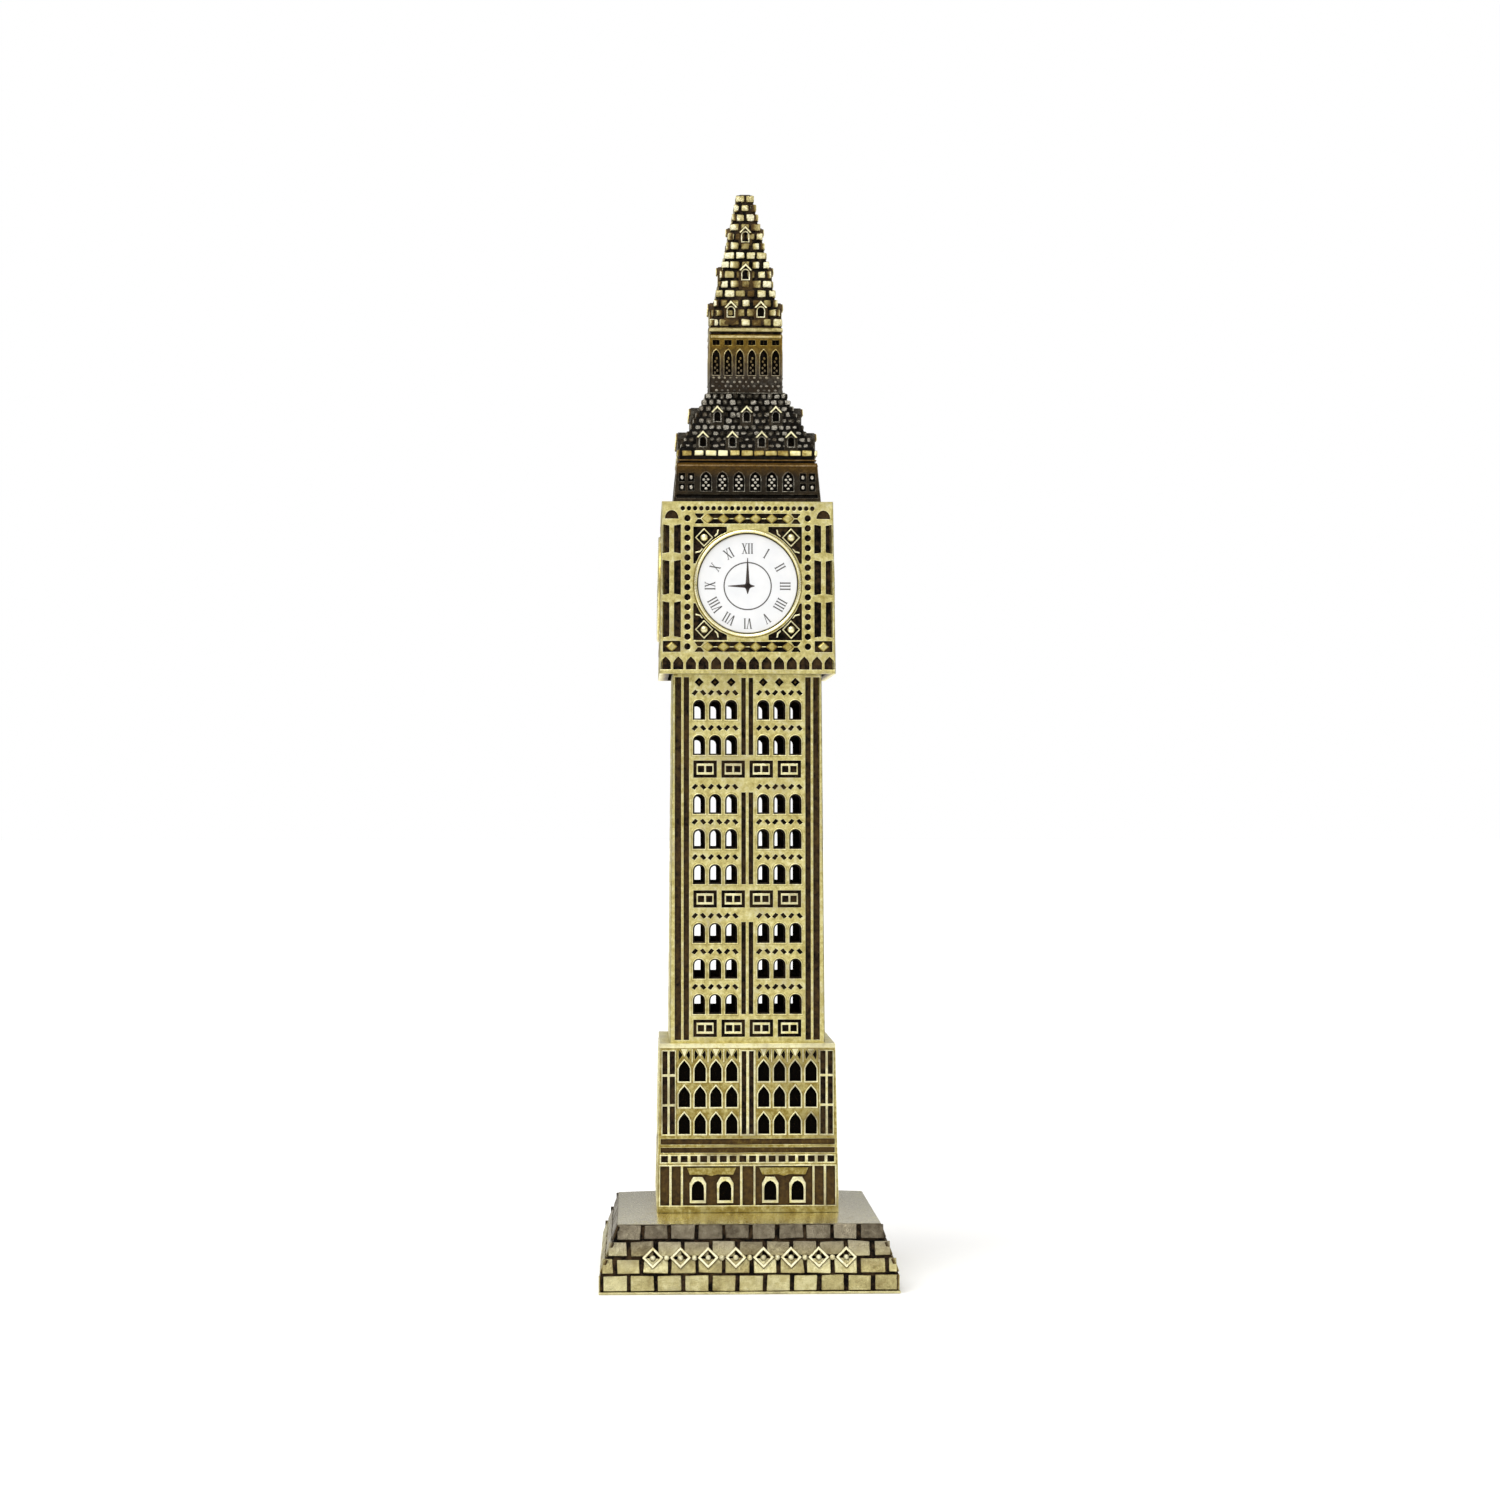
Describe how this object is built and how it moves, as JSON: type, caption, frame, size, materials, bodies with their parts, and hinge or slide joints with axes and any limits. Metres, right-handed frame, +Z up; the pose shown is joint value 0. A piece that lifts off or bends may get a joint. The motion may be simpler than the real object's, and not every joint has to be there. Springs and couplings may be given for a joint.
{
  "type": "miniature landmark model",
  "caption": "Cast metal souvenir clock tower with a brick plinth, pierced windows, dials on every side, a tiled roof, a lantern and a tiled spire.",
  "frame": {"origin": "centre of the resting face, under the middle of the plinth", "axes": "+Z up towards the tip of the spire, -Y towards the front, +X to the right seen from the front"},
  "size_m": [0.048, 0.048, 0.18],
  "materials": {
    "plinth_metal": "antique, worn bright on the raised brick faces and dark in the joints",
    "wall_metal": "antique, satin, pale on raised faces with a dark brown wash in the recesses",
    "dark_metal": "antique, blackened, with rubbed edges",
    "inner_metal": "as cast, dark wash",
    "bezel_metal": "satin, rubbed bright",
    "dial_face": "white, printed, under a clear coat",
    "screw_steel": "plain zinc-plated",
    "pad_foam": "black felt"
  },
  "bodies": {
    "root": {"base_pad": "pad_foam", "plinth": "plinth_metal", "screw_left": "screw_steel", "screw_right": "screw_steel", "tower_foot": "inner_metal", "lower_wall_front": "wall_metal", "lower_wall_right": "wall_metal", "lower_wall_back": "wall_metal", "lower_wall_left": "wall_metal", "lower_ledge": "wall_metal", "shaft_wall_front": "wall_metal", "shaft_wall_right": "wall_metal", "shaft_wall_back": "wall_metal", "shaft_wall_left": "wall_metal", "clock_floor": "inner_metal", "clock_wall_front": "wall_metal", "clock_wall_right": "wall_metal", "clock_wall_back": "wall_metal", "clock_wall_left": "wall_metal", "bezel_front": "bezel_metal", "bezel_right": "bezel_metal", "bezel_back": "bezel_metal", "bezel_left": "bezel_metal", "dial_front": "dial_face", "dial_right": "dial_face", "dial_back": "dial_face", "dial_left": "dial_face", "clock_roof": "inner_metal", "belfry": "dark_metal", "lower_roof": "dark_metal", "lantern": "dark_metal", "spire": "wall_metal"}
  },
  "joints": []
}
